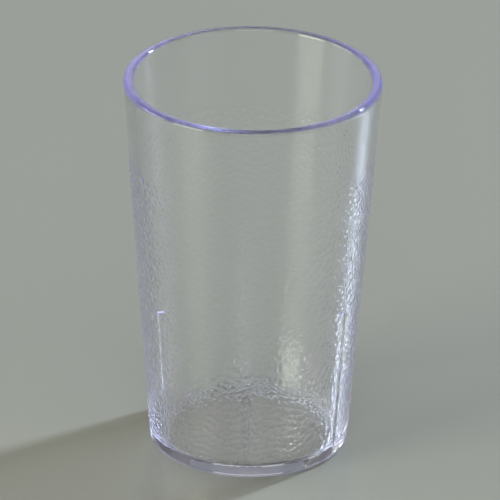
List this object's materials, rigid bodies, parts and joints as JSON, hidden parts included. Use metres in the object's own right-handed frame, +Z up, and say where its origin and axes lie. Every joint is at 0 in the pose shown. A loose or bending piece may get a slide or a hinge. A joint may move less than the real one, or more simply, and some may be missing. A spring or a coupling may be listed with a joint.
{
  "type": "plastic tumbler",
  "caption": "Clear tapered drinking tumbler with a rounded lip, a pebbled grip zone outside and upright ribs inside that carry the next cup when tumblers are stacked.",
  "frame": {"origin": "centre of the underside, on the surface that the tumbler stands on", "axes": "+Z up along the cup's axis from the underside to the rim, -Y towards a viewer in front, +X to that viewer's right"},
  "size_m": [0.077, 0.077, 0.1185],
  "materials": {
    "clear_plastic": "clear moulded styrene plastic with a faint violet tint, polished inside, on the lip and on the drinking band, pebbled on the outside below the band"
  },
  "bodies": {
    "root": {"tumbler": "clear_plastic"}
  },
  "joints": []
}
